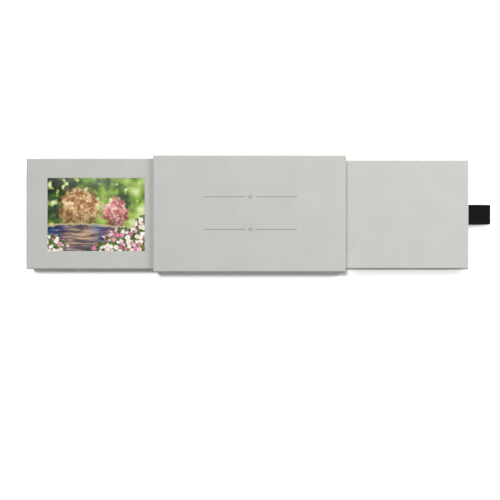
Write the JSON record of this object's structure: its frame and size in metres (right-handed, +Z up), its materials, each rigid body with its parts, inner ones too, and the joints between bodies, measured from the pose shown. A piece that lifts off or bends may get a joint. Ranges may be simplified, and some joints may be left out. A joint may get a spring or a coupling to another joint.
{
  "type": "lcd video brochure",
  "caption": "Flat paper-wrapped sleeve from which a tray with a small screen and a blank pull card with a ribbon tab slide out opposite ways together.",
  "frame": {"origin": "centre of the sleeve's underside", "axes": "+X along the slides, towards the ribbon tab; +Y across the width; +Z up"},
  "size_m": [0.235, 0.0586, 0.0115],
  "materials": {
    "wrap_paper": "matt art paper, very fine tooth",
    "greyboard": "raw, fibrous",
    "ribbon": "black grosgrain",
    "clear_film": "clear film",
    "adhesive_tape": "tissue tape",
    "magnet": "nickel-plated",
    "screen_frame": "white moulding",
    "screen_glass": "gloss, lit from behind",
    "chip_black": "moulded epoxy",
    "chip_tan": "matt",
    "flex_amber": "polyimide",
    "board_green": "solder mask",
    "plated_steel": "bright plated",
    "cell_foil": "matt laminated foil",
    "wire_red": "silicone insulation",
    "foam_black": "closed-cell foam",
    "speaker_film": "moulded film"
  },
  "bodies": {
    "sleeve": {"sleeve_bottom_board": "greyboard", "sleeve_top_board": "greyboard", "front_lower_strip": "greyboard", "front_upper_strip": "greyboard", "rear_lower_strip": "greyboard", "rear_upper_strip": "greyboard", "divider_board": "greyboard", "belt_film": "clear_film", "wrap_bottom": "wrap_paper", "wrap_top": "wrap_paper", "wrap_front": "wrap_paper", "wrap_rear": "wrap_paper", "lining_bottom": "wrap_paper", "lining_top": "wrap_paper", "switch_magnet": "magnet"},
    "tray": {"tray_base_board": "greyboard", "tray_insert": "greyboard", "tray_cover_board": "greyboard", "tray_wrap": "wrap_paper", "tray_base_lining": "wrap_paper", "tray_tape": "adhesive_tape", "lcd_backlight": "screen_frame", "lcd_panel": "screen_glass", "lcd_driver_chip": "chip_black", "lcd_flex": "flex_amber", "circuit_board": "board_green", "processor_chip": "chip_black", "memory_chip": "chip_black", "clock_crystal": "plated_steel", "power_coil": "chip_black", "small_parts": "chip_tan", "magnetic_switch": "chip_black", "usb_socket": "plated_steel", "usb_tongue": "chip_black", "battery_cell": "cell_foil", "battery_leads": "wire_red", "screen_pad": "foam_black", "speaker_frame": "plated_steel", "speaker_magnet": "magnet", "speaker_cone": "speaker_film", "speaker_leads": "wire_red"},
    "card": {"card_board": "greyboard", "card_wrap": "wrap_paper", "ribbon_tab": "ribbon", "card_tape": "adhesive_tape"}
  },
  "joints": [
    {"name": "tray_slide", "type": "slide", "parent": "sleeve", "child": "tray", "axis": [1, 0, 0], "range_m": [0, 0.0638]},
    {"name": "card_slide", "type": "slide", "parent": "sleeve", "child": "card", "axis": [1, 0, 0], "range_m": [-0.0638, 0]}
  ],
  "couplings": [
    {"joint": "card_slide", "follows": "tray_slide", "ratio": -1}
  ]
}
